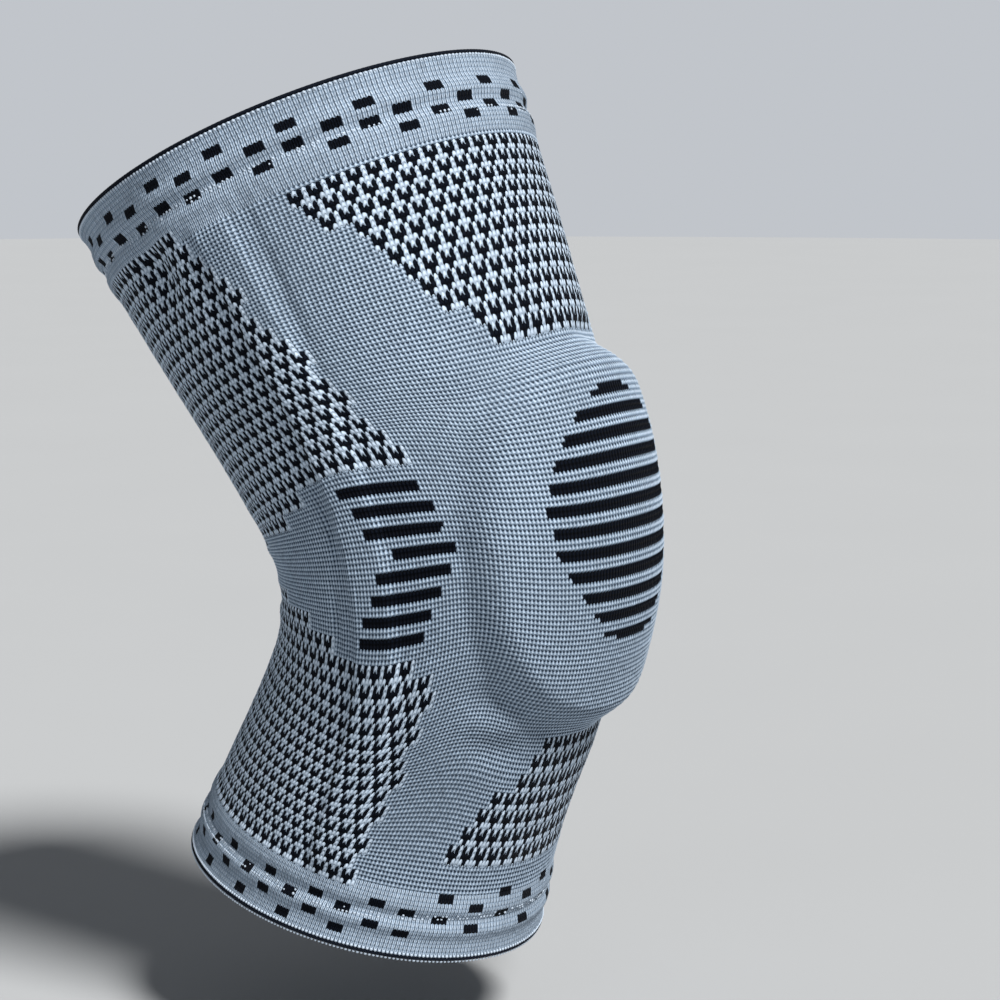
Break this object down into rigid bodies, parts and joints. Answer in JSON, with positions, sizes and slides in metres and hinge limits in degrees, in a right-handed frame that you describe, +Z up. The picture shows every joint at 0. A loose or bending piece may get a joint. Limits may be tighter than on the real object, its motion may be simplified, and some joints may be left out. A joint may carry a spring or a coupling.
{
  "type": "knee sleeve",
  "caption": "Knitted elastic knee sleeve shaped on a bent knee, open at both ends, with grip bands, a gel ring round the kneecap and a flat stay up each side.",
  "frame": {"origin": "middle of the knee hollow, on the leg's centre line", "axes": "+Z up, -Y to the kneecap, +X to the right seen from the front"},
  "size_m": [0.1584, 0.2045, 0.2998],
  "materials": {
    "grey_knit": "elastic knit, bluish grey with near-black patterns",
    "band_knit": "close elastic knit, bluish grey with near-black dashes",
    "dark_knit": "close knit, near-black navy",
    "gel": "soft translucent silicone",
    "stay_strip": "smooth springy plastic strip"
  },
  "bodies": {
    "root": {"knit_tube": "grey_knit", "thigh_grip_band": "band_knit", "calf_grip_band": "band_knit", "thigh_edge_roll": "dark_knit", "calf_edge_roll": "dark_knit", "gel_ring": "gel", "stay_left": "stay_strip", "stay_right": "stay_strip"}
  },
  "joints": []
}
